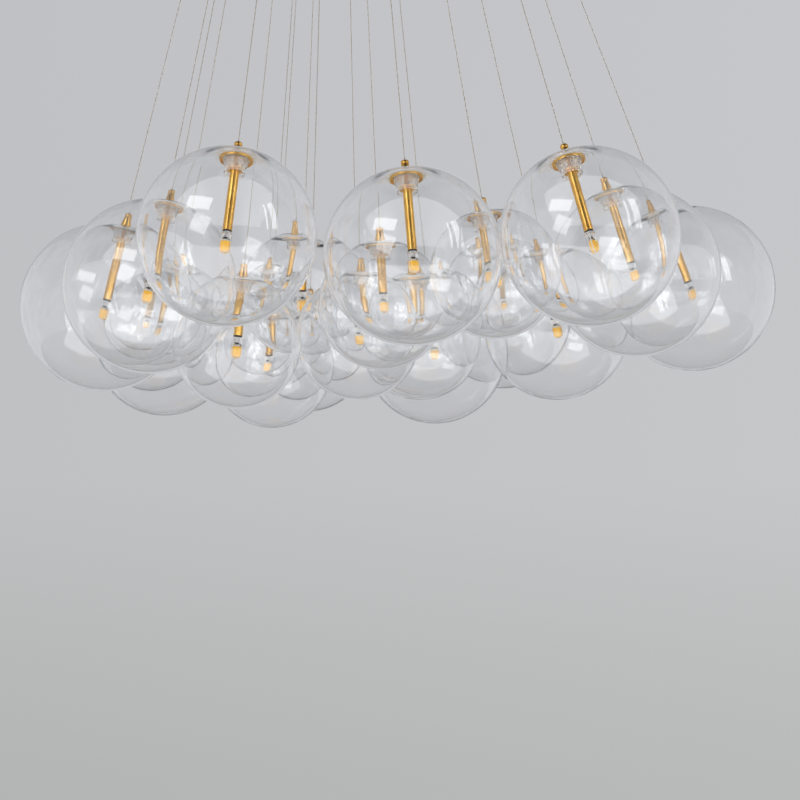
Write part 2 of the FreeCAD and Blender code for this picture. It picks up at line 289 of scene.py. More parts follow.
def globe_glass(s):
    """Clear blown glass with faint drawn streaks, painted darker where the wall is seen edge on:
    partly its tint along the wall, partly a painted dark outline.
    """
    mat, shader, out = new_material("blown_glass")
    facing = node(mat, "ShaderNodeLayerWeight")
    facing.inputs["Blend"].default_value = 0.5
    # painted shade: the glass colour darkens towards the edge-on wall, drawing a dark outline
    # round each globe as well as its tint along the wall
    tint = ramp(mat, facing.outputs["Facing"], [
        (0.0, s.tint), (0.80, s.tint), (0.93, [0.5 * (a + b) for a, b in zip(s.tint, s.edge)]),
        (0.99, s.edge)])
    link(mat, tint, shader.inputs["Base Color"])
    shader.inputs["Transmission Weight"].default_value = 1.0
    shader.inputs["IOR"].default_value = 1.5
    shader.inputs["Roughness"].default_value = 0.0
    streaks = noise(mat, object_vector(mat, (1.0, 1.0, 0.22)), 38.0, 2.0)
    bump(mat, streaks, shader, 0.05, 0.0012)
    let_lamps_through(mat, shader, out, (0.97, 0.97, 0.97))
    return mat


def clear_plastic(name, tint, rough, grain, clear=1.0):
    """Clear plastic or thin glass. A lower share of clearness makes it milky, as rubber is."""
    mat, shader, out = new_material(name)
    vector = object_vector(mat)
    cloud = noise(mat, vector, grain, 3.0)
    link(mat, ramp(mat, cloud, [(0.3, tint), (0.7, [0.94 * c for c in tint])]),
         shader.inputs["Base Color"])
    link(mat, spread(mat, cloud, rough, rough + 0.03), shader.inputs["Roughness"])
    shader.inputs["Transmission Weight"].default_value = clear
    shader.inputs["IOR"].default_value = 1.45
    let_lamps_through(mat, shader, out, (0.9, 0.9, 0.88))
    return mat


def polished_brass(s):
    """Brass with a satin polish, fine drawn lines along its length and slight toning."""
    if "polished_brass" in bpy.data.materials:
        return bpy.data.materials["polished_brass"]
    mat, shader, _ = new_material("polished_brass")
    tone = noise(mat, object_vector(mat), 60.0, 4.0)
    link(mat, ramp(mat, tone, [(0.35, s.light), (0.75, s.deep)]), shader.inputs["Base Color"])
    shader.inputs["Metallic"].default_value = 1.0
    lines = noise(mat, object_vector(mat, (1.0, 1.0, 0.03)), 2600.0, 2.0)
    link(mat, spread(mat, lines, s.roughness - 0.03, s.roughness + 0.05),
         shader.inputs["Roughness"])
    bump(mat, lines, shader, 0.03, 0.0001)
    return mat


def spun_brass(s):
    """Satin brass with the rings left by spinning."""
    mat, shader, _ = new_material("spun_brass")
    where = node(mat, "ShaderNodeTexCoord")
    split = node(mat, "ShaderNodeSeparateXYZ")
    link(mat, where.outputs["Object"], split.inputs["Vector"])
    flat = node(mat, "ShaderNodeCombineXYZ")
    link(mat, split.outputs["X"], flat.inputs["X"])
    link(mat, split.outputs["Y"], flat.inputs["Y"])
    length = node(mat, "ShaderNodeVectorMath", operation="LENGTH")
    link(mat, flat.outputs["Vector"], length.inputs[0])
    rings_at = node(mat, "ShaderNodeCombineXYZ")
    link(mat, length.outputs["Value"], rings_at.inputs["X"])
    link(mat, split.outputs["Z"], rings_at.inputs["Y"])
    rings = noise(mat, rings_at.outputs["Vector"], 1400.0, 2.0)
    tone = noise(mat, object_vector(mat), 9.0, 4.0)
    link(mat, ramp(mat, tone, [(0.35, s.brass), (0.75, [0.85 * c for c in s.brass])]),
         shader.inputs["Base Color"])
    shader.inputs["Metallic"].default_value = 1.0
    link(mat, spread(mat, rings, 0.26, 0.42), shader.inputs["Roughness"])
    bump(mat, rings, shader, 0.15, 0.0002)
    return mat


def zinc(s):
    mat, shader, _ = new_material("zinc_plate")
    cells = node(mat, "ShaderNodeTexVoronoi")
    cells.inputs["Scale"].default_value = 160.0
    link(mat, object_vector(mat), cells.inputs["Vector"])
    link(mat, ramp(mat, cells.outputs["Distance"], [(0.1, s.steel),
                                                    (0.9, [0.82 * c for c in s.steel])]),
         shader.inputs["Base Color"])
    shader.inputs["Metallic"].default_value = 1.0
    link(mat, spread(mat, cells.outputs["Distance"], 0.28, 0.45, 0.0, 1.0),
         shader.inputs["Roughness"])
    return mat


def bright_metal(name, colour, rough):
    mat, shader, _ = new_material(name)
    tone = noise(mat, object_vector(mat), 900.0, 2.0)
    link(mat, ramp(mat, tone, [(0.3, colour), (0.7, [0.85 * c for c in colour])]),
         shader.inputs["Base Color"])
    shader.inputs["Metallic"].default_value = 1.0
    link(mat, spread(mat, tone, rough, rough + 0.1), shader.inputs["Roughness"])
    return mat


def moulded(name, colour, rough, grain):
    """Moulded plastic or coated part with a fine surface grain."""
    mat, shader, _ = new_material(name)
    vector = object_vector(mat)
    cloud = noise(mat, vector, grain * 0.1, 3.0)
    link(mat, ramp(mat, cloud, [(0.3, colour), (0.7, [0.88 * c for c in colour])]),
         shader.inputs["Base Color"])
    fine = noise(mat, vector, grain, 2.0)
    link(mat, spread(mat, fine, rough - 0.06, rough + 0.08), shader.inputs["Roughness"])
    bump(mat, fine, shader, 0.25, 0.00005)
    return mat


def phosphor(s):
    """Cured phosphor gel, slightly mottled, with a faint painted glow that stands in for
    fluorescence in the studio's light.
    """
    mat, shader, _ = new_material("phosphor")
    cloud = noise(mat, object_vector(mat), 420.0, 4.0)
    pale = [min(1.0, c + 0.06) for c in s.phosphor]
    link(mat, ramp(mat, cloud, [(0.3, s.phosphor), (0.75, pale)]), shader.inputs["Base Color"])
    shader.inputs["Roughness"].default_value = 0.45
    # painted light: a faint even glow in the phosphor's colour, though the bulb is not lit
    shader.inputs["Emission Color"].default_value = (*s.phosphor, 1.0)
    shader.inputs["Emission Strength"].default_value = 0.2
    bump(mat, cloud, shader, 0.3, 0.0002)
    return mat


# ------------------------------------------------------------------ modelling helpers

def deselect():
    if bpy.context.mode != "OBJECT":
        bpy.ops.object.mode_set(mode="OBJECT")
    bpy.ops.object.select_all(action="DESELECT")


def added(name):
    piece = bpy.context.active_object
    piece.name = name
    piece.data.name = name
    return piece


def work_on(piece):
    deselect()
    piece.select_set(True)
    bpy.context.view_layer.objects.active = piece


def pick(piece, kind, test):
    """In edit mode, select the vertices, edges or faces whose places pass the test."""
    mesh = bmesh.from_edit_mesh(piece.data)
    bpy.ops.mesh.select_all(action="DESELECT")
    if kind == "VERT":
        found = [v for v in mesh.verts if test(v.co)]
    elif kind == "EDGE":
        found = [e for e in mesh.edges if all(test(v.co) for v in e.verts)]
    else:
        found = [f for f in mesh.faces if test(f.calc_center_median())]
    bpy.ops.mesh.select_mode(type=kind)
    for item in found:
        item.select_set(True)
    mesh.select_flush_mode()
    bmesh.update_edit_mesh(piece.data)


def modifier(piece, kind, **values):
    work_on(piece)
    made = piece.modifiers.new(kind.lower(), kind)
    for key, value in values.items():
        setattr(made, key, value)
    bpy.ops.object.modifier_apply(modifier=made.name)


def soft_edges(piece, width, segments=2):
    modifier(piece, "BEVEL", width=width * MM, segments=segments, limit_method="ANGLE",
             angle_limit=math.radians(30), harden_normals=False)


def smooth(piece, angle=35):
    work_on(piece)
    bpy.ops.object.shade_smooth_by_angle(angle=math.radians(angle))


def turned(name, outline, sides, closed=True):
    """A ring is drawn out from point to point of a (radius, height) outline in millimetres.
    A closed outline joins up with its start, and an open one gets a face at each end."""
    deselect()
    r, z = outline[0]
    bpy.ops.mesh.primitive_circle_add(vertices=sides, radius=r * MM, enter_editmode=True)
    bpy.ops.transform.translate(value=(0, 0, z * MM))
    if not closed:
        bpy.ops.mesh.edge_face_add()
    for next_r, next_z in outline[1:] + (outline[:1] if closed else []):
        bpy.ops.mesh.extrude_edges_move(
            TRANSFORM_OT_translate={"value": (0, 0, (next_z - z) * MM)})
        scale = next_r / r
        bpy.ops.transform.resize(value=(scale, scale, 1), center_override=(0, 0, next_z * MM))
        r, z = next_r, next_z
    if not closed:
        bpy.ops.mesh.edge_face_add()
    bpy.ops.mesh.select_all(action="SELECT")
    bpy.ops.mesh.remove_doubles(threshold=1e-6)
    bpy.ops.mesh.normals_make_consistent(inside=False)
    bpy.ops.object.mode_set(mode="OBJECT")
    return added(name)


def block(name, size, centre, edge, segments):
    """A small block with rounded edges, in millimetres."""
    deselect()
    bpy.ops.mesh.primitive_cube_add(size=1.0, enter_editmode=True)
    bpy.ops.transform.resize(value=[v * MM for v in size], center_override=(0, 0, 0))
    bpy.ops.transform.translate(value=[v * MM for v in centre])
    bpy.ops.object.mode_set(mode="OBJECT")
    piece = added(name)
    soft_edges(piece, edge, segments)
    return piece


def joined(name, pieces):
    work_on(pieces[0])
    for piece in pieces[1:]:
        piece.select_set(True)
    bpy.ops.object.join()
    return added(name)


def dress(piece, material):
    piece.data.materials.clear()
    piece.data.materials.append(material)


# ------------------------------------------------------------------ placing the drops

def pivot(centre):
    share = (FAN_APEX_Z - PIVOT_Z) / (FAN_APEX_Z - centre[2])
    return Vector((centre[0] * share, centre[1] * share, PIVOT_Z))


def cable_line(centre):
    return pivot(centre) - Vector(centre)


def leaned(centre):
    turn = Vector((0, 0, 1)).rotation_difference(cable_line(centre)).to_matrix().to_4x4()
    return Matrix.Translation(Vector(centre) * MM) @ turn


def mouth_height(globe_r):
    return math.sqrt((globe_r - WALL_T) ** 2 - MOUTH_R ** 2)


def lower_disc_bottom(globe_r):
    return mouth_height(globe_r) - DISC_T - LOWER_DISC_DOWN - DISC_T


def hang(piece, number, cad_name, slot, body=None, lift=0.0, turn=0.0):
    """Lean a copy of an upright piece onto its drop and hand it to the drop's body. A piece
    made at the end of the tube is lifted along the line first, in millimetres, and turned
    about it, in degrees."""
    centre = next(c for n, _, c in DROPS if n == number)
    copy = piece.copy()
    copy.data = piece.data.copy()
    copy.name = copy.data.name = f"{piece.name.split('.')[0]}_on_{number:02d}"
    bpy.context.scene.collection.objects.link(copy)
    copy.data.transform(leaned(centre) @ Matrix.Translation((0, 0, lift * MM))
                        @ Matrix.Rotation(math.radians(turn), 4, "Z"))
    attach(copy, body or f"drop_{number:02d}")
    if number == ITEMISED or cad_name == "globe":
        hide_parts(f"{cad_name}_{number:02d}")
    else:
        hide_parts(f"hanger_{number:02d}")


def discard(*pieces):
    for piece in pieces:
        bpy.data.objects.remove(piece)


def numbers_of(size):
    return [n for n, s, _ in DROPS if s == size]


# ------------------------------------------------------------------ the pieces

def blow_globe(globe_r, s):
    """A sphere cut open at its mouth, given a wall, a heavier base and a polished lip."""
    deselect()
    bpy.ops.mesh.primitive_uv_sphere_add(segments=96, ring_count=72, radius=globe_r * MM,
                                         enter_editmode=True)
    outer_mouth = math.sqrt(globe_r ** 2 - MOUTH_R ** 2) * MM
    bpy.ops.mesh.select_all(action="SELECT")
    bpy.ops.mesh.bisect(plane_co=(0, 0, outer_mouth), plane_no=(0, 0, 1), clear_outer=True)
    bpy.ops.mesh.select_all(action="SELECT")
    bpy.ops.mesh.normals_make_consistent(inside=False)
    bpy.ops.object.mode_set(mode="OBJECT")
    piece = added("glass_globe")
    modifier(piece, "SOLIDIFY", thickness=s.wall, offset=-1.0, use_even_offset=True)
    bpy.ops.object.mode_set(mode="EDIT")
    middle = globe_r * MM - s.wall / 2
    pick(piece, "VERT", lambda p: p.length < middle and p.z < mouth_height(globe_r) * MM - 0.004)
    bpy.ops.transform.translate(value=(0, 0, s.base_extra))
    pick(piece, "VERT", lambda p: p.length < middle and p.z > outer_mouth - s.wall * 1.2
         and math.hypot(p.x, p.y) < MOUTH_R * MM * 0.999)
    grow = 1 / (1 - s.wall / (globe_r * MM))
    bpy.ops.transform.resize(value=(grow, grow, 1), center_override=(0, 0, outer_mouth))
    pick(piece, "EDGE", lambda p: abs(math.hypot(p.x, p.y) - MOUTH_R * MM) < 0.0002
         and p.z > outer_mouth - 2 * s.wall)
    bpy.ops.mesh.bevel(offset=0.25 * s.wall, segments=2, affect="EDGES")
    bpy.ops.object.mode_set(mode="OBJECT")
    work_on(piece)
    bpy.ops.object.shade_smooth()
    return piece


class PENDANT_OT_globes(bpy.types.Operator):
    """Blow the glass globes in their three sizes"""
    bl_idname = "pendant.globes"
    bl_label = "Glass globes"

    def execute(self, context):
        glass = globe_glass(context.scene.pendant_glass)
        for size, globe_r in GLOBE_R.items():
            piece = blow_globe(globe_r, context.scene.pendant_glass)
            dress(piece, glass)
            for number in numbers_of(size):
                hang(piece, number, "globe", "clear_glass")
            discard(piece)
        return {"FINISHED"}


def twisted_pair(low, high):
    """Two thin wires screwed round each other in a whole number of turns."""
    deselect()
    bpy.ops.mesh.primitive_circle_add(vertices=6, radius=WIRE_R * MM, fill_type="NOTHING",
                                      enter_editmode=True)
    bpy.ops.transform.translate(value=(WIRE_OFFSET * MM, 0, low * MM))
    bpy.ops.mesh.duplicate_move(
        TRANSFORM_OT_translate={"value": (-2 * WIRE_OFFSET * MM, 0, 0)})
    bpy.ops.object.mode_set(mode="OBJECT")
    pair = added("pair")
    turns = round((high - low) / WIRE_TWIST)
    modifier(pair, "SCREW", axis="Z", steps=8, render_steps=8, iterations=turns,
             screw_offset=(high - low) * MM / turns, use_normal_calculate=True)
    return pair


class PENDANT_OT_cables(bpy.types.Operator):
    """Draw the clear-jacketed cables with their two twisted conductors"""
    bl_idname = "pendant.cables"
    bl_label = "Cables"

    def execute(self, context):
        s = context.scene.pendant_canopy
        jacket = clear_plastic("cable_jacket", s.jacket, 0.12, 500.0)
        wire = moulded("wire_pair", s.wires, 0.35, 2200.0)
        for number, size, centre in DROPS:
            start = GLOBE_R[size] + CAP_ABOVE_GLOBE - CABLE_IN_CAP
            end = cable_line(centre).length
            skin = turned("skin", [(0.3, start), (CABLE_R, start + 0.3), (CABLE_R, end - 0.2),
                                   (0.42, end + 0.25)], 14, closed=False)
            dress(skin, jacket)
            pair = twisted_pair(start + 0.6, end - 0.6)
            dress(pair, wire)
            piece = joined("cable", [skin, pair])
            smooth(piece)
            hang(piece, number, "cable", "cable_jacket")
            discard(piece)
        return {"FINISHED"}


def cone_cap(globe_r):
    """Turned cone with a foot, a waist groove and a rolled top round the cable."""
    foot, top = mouth_height(globe_r) + GASKET_T, globe_r + CAP_ABOVE_GLOBE
    h = top - foot
    piece = turned("cone_cap", [
        (2.5, foot), (6.7, foot), (6.7, foot + 1.4), (6.2, foot + 1.9), (6.4, foot + 2.4),
        (5.35, foot + 0.45 * h), (4.4, foot + 0.72 * h), (4.0, foot + 0.74 * h),
        (4.0, foot + 0.77 * h), (4.6, foot + 0.80 * h), (4.7, foot + 0.86 * h),
        (4.4, top - 0.9), (3.6, top - 0.1), (3.2, top),
        (1.0, top), (0.75, top - 0.6), (0.75, top - 5.0), (2.5, top - CABLE_IN_CAP)], 48)
    soft_edges(piece, 0.18)
    smooth(piece)
    return piece


class PENDANT_OT_caps(bpy.types.Operator):
    """Turn the brass cone caps, each with a clear sleeve where the cable goes in"""
    bl_idname = "pendant.caps"
    bl_label = "Cone caps"

    def execute(self, context):
        brass = polished_brass(context.scene.pendant_brass)
        sleeve_plastic = clear_plastic("cable_sleeve", (0.9, 0.88, 0.84), 0.15, 300.0)
        for size, globe_r in GLOBE_R.items():
            piece = cone_cap(globe_r)
            dress(piece, brass)
            top = globe_r + CAP_ABOVE_GLOBE
            sleeve = turned("cable_sleeve", [(0.62, top - 0.4), (1.0, top - 0.4), (1.0, top + 0.1),
                                             (0.8, top + 2.6), (0.62, top + 2.8)], 20)
            smooth(sleeve)
            dress(sleeve, sleeve_plastic)
            for number in numbers_of(size):
                hang(piece, number, "cap", "brass")
                hang(sleeve, number, "cap", "clear_plastic")
            discard(piece, sleeve)
        return {"FINISHED"}


def closing_disc(globe_r):
    """Shallow dish with a rounded shoulder, a rolled lower edge and a boss in its middle."""
    top = mouth_height(globe_r)
    piece = turned("closing_disc", [
        (2.5, top), (17.6, top), (18.4, top - 0.2), (18.9, top - 0.7), (DISC_R, top - 3.3),
        (18.8, top - 3.7), (18.3, top - 3.8), (17.9, top - 3.5), (17.9, top - 1.7),
        (17.4, top - 1.25), (13.6, top - 1.25), (13.3, top - DISC_T), (2.5, top - DISC_T)], 64)
    smooth(piece)
    return piece


def gasket(globe_r):
    """Clear cup over the disc. Its neck fills the mouth and its flange carries the glass."""
    top = mouth_height(globe_r)
    under_glass = math.sqrt((globe_r - WALL_T) ** 2 - GASKET_FLANGE_R ** 2)
    piece = turned("gasket", [
        (2.6, top + PLAY), (DISC_R + PLAY, top + PLAY), (DISC_R + PLAY, top - DISC_T),
        (GASKET_FLANGE_R, top - DISC_T), (GASKET_FLANGE_R, under_glass - PLAY),
        (20.5, top - 0.1), (20.5, top + GASKET_T), (2.6, top + GASKET_T)], 64)
    soft_edges(piece, 0.15)
    smooth(piece)
    return piece


class PENDANT_OT_mouths(bpy.types.Operator):
    """Make the discs that close the mouths and their clear rubber gaskets"""
    bl_idname = "pendant.mouths"
    bl_label = "Closing discs"

    def execute(self, context):
        brass = polished_brass(context.scene.pendant_brass)
        rubber = clear_plastic("clear_rubber", (0.97, 0.97, 0.97), 0.2, 200.0, clear=0.55)
        for size, globe_r in GLOBE_R.items():
            disc, cup = closing_disc(globe_r), gasket(globe_r)
            dress(disc, brass)
            dress(cup, rubber)
            for number in numbers_of(size):
                hang(disc, number, "closing_disc", "brass")
                hang(cup, number, "gasket", "clear_rubber")
            discard(disc, cup)
        return {"FINISHED"}


def ribbed_collar(globe_r):
    """Hollow clear cone with fine ribs, and a plain skirt that hangs round the lower disc."""
    top = mouth_height(globe_r) - DISC_T - PLAY
    step = lower_disc_bottom(globe_r) + DISC_T
    end = top - COLLAR_H
    pitch = (top - step) / COLLAR_RIBS
    outline = [(2.7, top), (14.6, top)]
    for i in range(COLLAR_RIBS):
        r = 14.9 - 2.6 * i / (COLLAR_RIBS - 1)
        z = top - i * pitch
        outline += [(r, z - 0.2 * pitch), (r, z - 0.5 * pitch), (r - 0.7, z - 0.65 * pitch),
                    (r - 0.7, z - 0.95 * pitch)]
    outline += [(12.0, step - 0.2), (12.0, end + 0.7), (12.2, end + 0.4), (11.9, end),
                (10.9, end), (10.6, end + 0.3), (10.4, step), (12.8, top - 1.2), (2.7, top - 1.2)]
    piece = turned("ribbed_collar", outline, 64)
    smooth(piece)
    return piece


def threaded_core(globe_r):
    """Hollow threaded rod, its thread cut as close grooves."""
    top = mouth_height(globe_r) + GASKET_T + CORE_IN_CAP
    bottom = lower_disc_bottom(globe_r) - CORE_IN_TUBE
    count = int((top - bottom) / THREAD_PITCH)
    outline = [(1.0, bottom)]
    for i in range(count):
        z = bottom + i * (top - bottom) / count
        outline += [(2.2, z), (2.48, z + 0.35)]
    outline += [(2.2, top), (1.0, top)]
    piece = turned("threaded_core", outline, 24)
    smooth(piece, 60)
    return piece


class PENDANT_OT_collars(bpy.types.Operator):
    """Mould the clear ribbed collars round their threaded brass cores"""
    bl_idname = "pendant.collars"
    bl_label = "Ribbed collars"

    def execute(self, context):
        brass = polished_brass(context.scene.pendant_brass)
        plastic = clear_plastic("clear_collar", (0.98, 0.98, 0.98), 0.0, 150.0, clear=0.9)
        for size, globe_r in GLOBE_R.items():
            collar, core = ribbed_collar(globe_r), threaded_core(globe_r)
            dress(collar, plastic)
            dress(core, brass)
            for number in numbers_of(size):
                hang(collar, number, "collar", "clear_plastic")
                hang(core, number, "core", "brass")
            discard(collar, core)
        return {"FINISHED"}


def lower_disc(globe_r):
    low = lower_disc_bottom(globe_r)
    top = low + DISC_T - PLAY
    piece = turned("lower_disc", [
        (2.5, low), (LOWER_DISC_R - 0.4, low), (LOWER_DISC_R, low + 0.3),
        (LOWER_DISC_R, low + 1.1), (LOWER_DISC_R - 0.3, top), (2.5, top)], 48)
    smooth(piece)
    return piece


def lamp_tube(globe_r, end):
    """Drawn tube with an eased top and mouth."""
    top = lower_disc_bottom(globe_r) - PLAY
    bore = TUBE_R - 0.7
    floor = top - CORE_IN_TUBE
    piece = turned("lamp_tube", [
        (2.6, top), (5.0, top), (TUBE_R, top - 0.3), (TUBE_R, end + 0.3), (5.05, end),
        (bore, end), (bore, floor), (2.6, floor)], 48)
    smooth(piece)
    return piece


def lamp_holder():
    """Black ring with a sunk pin plate below the tube's end, and the body inside the tube."""
    piece = turned("lamp_holder", [
        (3.6, -1.65), (4.3, -1.65), (4.5, -2.0), (5.0, -2.0), (TUBE_R, -1.75), (TUBE_R, -0.25),
        (5.05, -0.05), (4.5, -0.05), (4.5, 13.8), (4.2, 14.0)], 40, closed=False)
    smooth(piece)
    return piece


class PENDANT_OT_tubes(bpy.types.Operator):
    """Draw the lamp tubes with their lower discs and black two-pin holders"""
    bl_idname = "pendant.tubes"
    bl_label = "Lamp tubes"

    def execute(self, context):
        brass = polished_brass(context.scene.pendant_brass)
        black = moulded("black_holder", (0.018, 0.018, 0.019), 0.42, 2400.0)
        holder = lamp_holder()
        dress(holder, black)
        for size, globe_r in GLOBE_R.items():
            end = TUBE_END[size]
            disc, tube = lower_disc(globe_r), lamp_tube(globe_r, end)
            dress(disc, brass)
            dress(tube, brass)
            for number in numbers_of(size):
                hang(disc, number, "lower_disc", "brass")
                hang(tube, number, "lamp_tube", "brass")
                hang(holder, number, "lamp_holder", "black_plastic", lift=end)
            discard(disc, tube)
        discard(holder)
        return {"FINISHED"}


def bulb_capsule(s):
    """Clear cast capsule: an eased shoulder, straight sides and a domed end."""
    r, top = s.radius / MM, BULB_TOP
    bottom = top - s.height / MM
    outline = [(r - 0.9, top), (r - 0.3, top - 0.15), (r, top - 0.6), (r, top - 1.4)]
    for i in range(13):
        turn = math.radians(i * 7)
        outline.append((r * math.cos(turn), bottom + r - r * math.sin(turn)))
    piece = turned("bulb_capsule", outline, 48, closed=False)
    smooth(piece, 50)
    return piece


def light_block():
    """Ceramic board with a light strip on each face."""
    low = BULB_TOP + BOARD_LOW
    board = block("board", (8.2, 1.2, 15.6), (0, 0, low + 7.9), 0.15, 1)
    strips = [block("strip", (8.4, 1.7, 11.4), (0, side * 1.35, low + 5.9), 0.55, 3)
              for side in (-1, 1)]
    return board, joined("light_strips", strips)


def driver_parts():
    """Two black chips and their solder pads on the board's upper part."""
    low = BULB_TOP - 10.0
    chips = [block("chip", (3.4, 0.9, 2.2), (-0.6, side * 1.1, low + 2.6), 0.12, 1)
             for side in (-1, 1)]
    chips += [block("chip", (1.5, 0.7, 0.9), (2.6, side * 1.0, low + 1.0), 0.1, 1)
              for side in (-1, 1)]
    pads = [block("pad", (0.5, 0.25, 0.6), (x, side * 0.75, low + z), 0.05, 1)
            for side in (-1, 1) for x, z in ((-2.6, 2.2), (-2.6, 3.0), (1.5, 2.2), (1.5, 3.0))]
    return joined("driver_chips", chips), joined("solder_pads", pads)


def pins():
    top, low = BULB_TOP + 7.6, BULB_TOP - 9.5
    made = []
    for side in (-1, 1):
        pin = turned("pin", [(0.2, low), (0.35, low + 0.3), (0.35, top - 0.4), (0.15, top)], 12,
                     closed=False)
        pin.data.transform(Matrix.Translation((side * 2.0 * MM, 0, 0)))
        made.append(pin)
    piece = joined("bulb_pins", made)
    smooth(piece)
    return piece


class PENDANT_OT_bulbs(bpy.types.Operator):
    """Make the clear capsule bulbs with their light blocks, chips and pins"""
    bl_idname = "pendant.bulbs"
    bl_label = "Bulbs"

    def execute(self, context):
        s = context.scene.pendant_bulb
        capsule = bulb_capsule(s)
        dress(capsule, clear_plastic("bulb_glass", (0.98, 0.98, 0.98), 0.0, 120.0))
        board, strips = light_block()
        dress(board, moulded("ceramic_board", (0.80, 0.80, 0.78), 0.5, 1500.0))
        dress(strips, phosphor(s))
        chips, pads = driver_parts()
        dress(chips, moulded("chip_black", (0.015, 0.015, 0.016), 0.35, 2500.0))
        pin_pair = pins()
        tin = bright_metal("tinned_pin", (0.72, 0.72, 0.72), 0.22)
        dress(pads, tin)
        dress(pin_pair, tin)
        for piece in (strips, board, chips, pads):
            smooth(piece)
        for number, size, _ in DROPS:
            body = f"bulb_{number:02d}" if number == ITEMISED else None
            place = {"body": body, "lift": TUBE_END[size], "turn": BULB_TURN.get(number, 0)}
            hang(capsule, number, "bulb_glass", "bulb_glass", **place)
            for piece in (board, strips, chips, pads, pin_pair):
                hang(piece, number, "bulb_works", "phosphor", **place)
        discard(capsule, board, strips, chips, pads, pin_pair)
        return {"FINISHED"}


def knurled_screw(side):
    """Side screw with a knurled head that is sunk in its middle."""
    deselect()
    bpy.ops.mesh.primitive_cylinder_add(vertices=48, radius=4.7 * MM, depth=4.0 * MM,
                                        enter_editmode=True)
    piece = added("knurled_screw")
    pick(piece, "FACE", lambda p: abs(p.z) < 0.0005)
    mesh = bmesh.from_edit_mesh(piece.data)
    mesh.faces.ensure_lookup_table()
    walls = [f for f in mesh.faces if f.select]
    for index, face in enumerate(walls):
        face.select_set(index % 2 == 0)
    bmesh.update_edit_mesh(piece.data)
    bpy.ops.mesh.inset(thickness=0.00008, depth=0.0003, use_individual=True)
    bpy.ops.object.mode_set(mode="OBJECT")
    shank = turned("shank", [(1.95, -11.0), (1.95, -2.0), (1.6, -1.9)], 24, closed=False)
    dome = turned("dome", [(4.6, 1.9), (4.2, 2.4), (2.6, 2.5), (2.4, 2.2)], 40, closed=False)
    piece = joined("knurled_screw", [piece, shank, dome])
    place = Matrix.Translation((side * SCREW_X * MM, 0, SCREW_Z * MM))
    piece.data.transform(place @ Matrix.Rotation(side * math.pi / 2, 4, "Y"))
    smooth(piece, 25)
    return piece


class PENDANT_OT_canopy(bpy.types.Operator):
    """Finish the canopy and what it holds, and add its knurled side screws"""
    bl_idname = "pendant.canopy"
    bl_label = "Canopy"

    def execute(self, context):
        s = context.scene.pendant_canopy
        brass = polished_brass(context.scene.pendant_brass)
        white = moulded("white_case", s.case, 0.45, 700.0)
        finishes = {
            "canopy_pan": spun_brass(s),
            "ceiling_bracket": zinc(s),
            "cable_grips": brass,
            "distribution_hub": white,
            "led_driver": white,
            "mains_terminal": moulded("terminal_black", (0.03, 0.03, 0.032), 0.5, 900.0),
            "inner_leads": moulded("lead_jacket", (0.62, 0.60, 0.54), 0.35, 900.0),
        }
        for name, finish in finishes.items():
            dress(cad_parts[name], finish)
        screws = joined("knurled_screws", [knurled_screw(side) for side in (-1, 1)])
        dress(screws, brass)
        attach(screws, "root")
        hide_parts("canopy_screws")
        return {"FINISHED"}


# ------------------------------------------------------------------ stage

def glowing_face(name, brightness):
    """Glow on one side that glass and metal mirror, but that isn't seen straight through glass."""
    mat = bpy.data.materials.new(name)
    mat.use_nodes = True
    mat.node_tree.nodes.clear()
    rays = node(mat, "ShaderNodeLightPath")
    never_mirrored = node(mat, "ShaderNodeMath", operation="LESS_THAN")
    never_mirrored.inputs[1].default_value = 0.5
    link(mat, rays.outputs["Glossy Depth"], never_mirrored.inputs[0])
    straight = node(mat, "ShaderNodeMath", operation="MULTIPLY")
    link(mat, rays.outputs["Is Transmission Ray"], straight.inputs[0])
    link(mat, never_mirrored.outputs["Value"], straight.inputs[1])
    side = node(mat, "ShaderNodeNewGeometry")
    mix = node(mat, "ShaderNodeMixShader")
    link(mat, brighter(mat, straight.outputs["Value"], side.outputs["Backfacing"]),
         mix.inputs["Fac"])
    glow = node(mat, "ShaderNodeEmission", Strength=brightness)
    clear = node(mat, "ShaderNodeBsdfTransparent")
    link(mat, glow.outputs["Emission"], mix.inputs[1])
    link(mat, clear.outputs["BSDF"], mix.inputs[2])
    out = node(mat, "ShaderNodeOutputMaterial")
    link(mat, mix.outputs["Shader"], out.inputs["Surface"])
    return mat


def softbox(name, place, aim, width, height, face_brightness, roll=0.0, diffuse=True):
    """Glowing rectangle that faces a point and is rolled by some degrees about that line."""
    deselect()
    bpy.ops.mesh.primitive_plane_add(size=1.0)
    face = added(name)
    aimed = (Vector(aim) - Vector(place)).to_track_quat("-Z", "Y").to_matrix().to_4x4()
    face.data.transform(Matrix.Translation(place) @ aimed
                        @ Matrix.Rotation(math.radians(roll), 4, "Z")
                        @ Matrix.Rotation(math.pi, 4, "X")
                        @ Matrix.Diagonal((width, height, 1.0, 1.0)))
    dress(face, glowing_face(name, face_brightness))
    face.visible_camera = False
    face.visible_shadow = False
    face.visible_diffuse = diffuse


def strip_lamp(name, place, aim, width, height, face_brightness):
    """Rectangular lamp that faces a point, as bright as asked on its own face."""
    deselect()
    bpy.ops.object.light_add(type="AREA", location=place)
    lamp = bpy.context.active_object
    lamp.name = name
    lamp.data.shape = "RECTANGLE"
    lamp.data.size, lamp.data.size_y = width, height
    lamp.data.energy = face_brightness * math.pi * width * height
    towards = Vector(aim) - Vector(place)
    lamp.rotation_euler = towards.to_track_quat("-Z", "Y").to_euler()
    lamp.visible_camera = False


